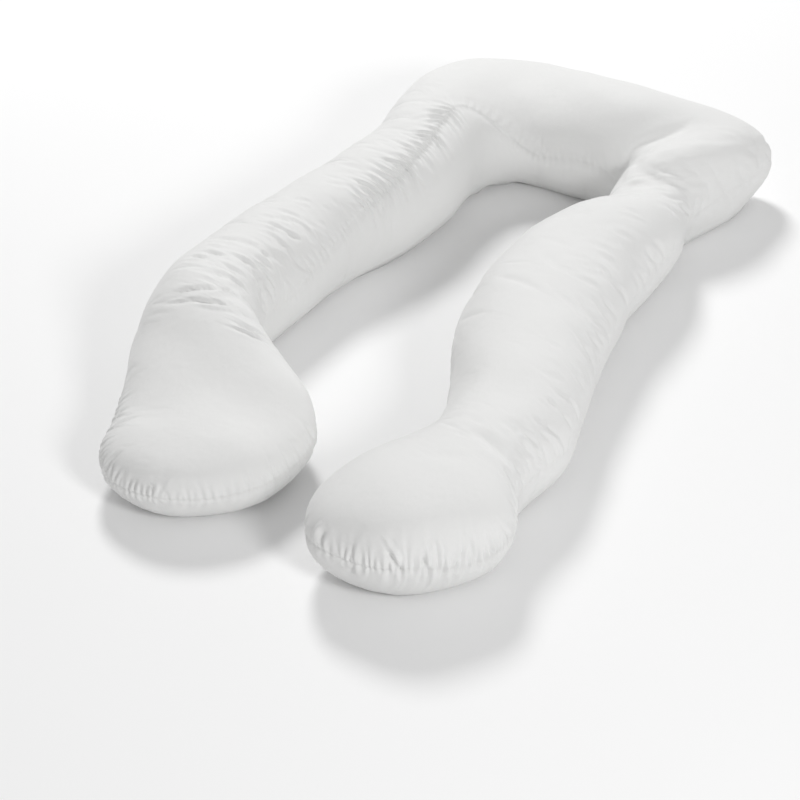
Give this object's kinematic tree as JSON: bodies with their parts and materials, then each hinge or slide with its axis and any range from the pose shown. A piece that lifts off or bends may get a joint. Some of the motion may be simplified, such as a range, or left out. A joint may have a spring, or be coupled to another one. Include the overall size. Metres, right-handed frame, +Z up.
{
  "type": "body pillow",
  "caption": "U-shaped filled full-body pillow of white cotton, with a broad head end, waisted arms and rounded foot lobes.",
  "frame": {"origin": "middle of the pillow's box, on the surface that it lies on", "axes": "+Y towards the head end, along the arms; +Z up out of the surface; +X towards the right arm"},
  "size_m": [0.7238, 1.305, 0.1922],
  "materials": {
    "cotton": "matte white plain-weave cotton, softly wrinkled along the seam and at the bends"
  },
  "bodies": {
    "root": {"pillow": "cotton"}
  },
  "joints": []
}
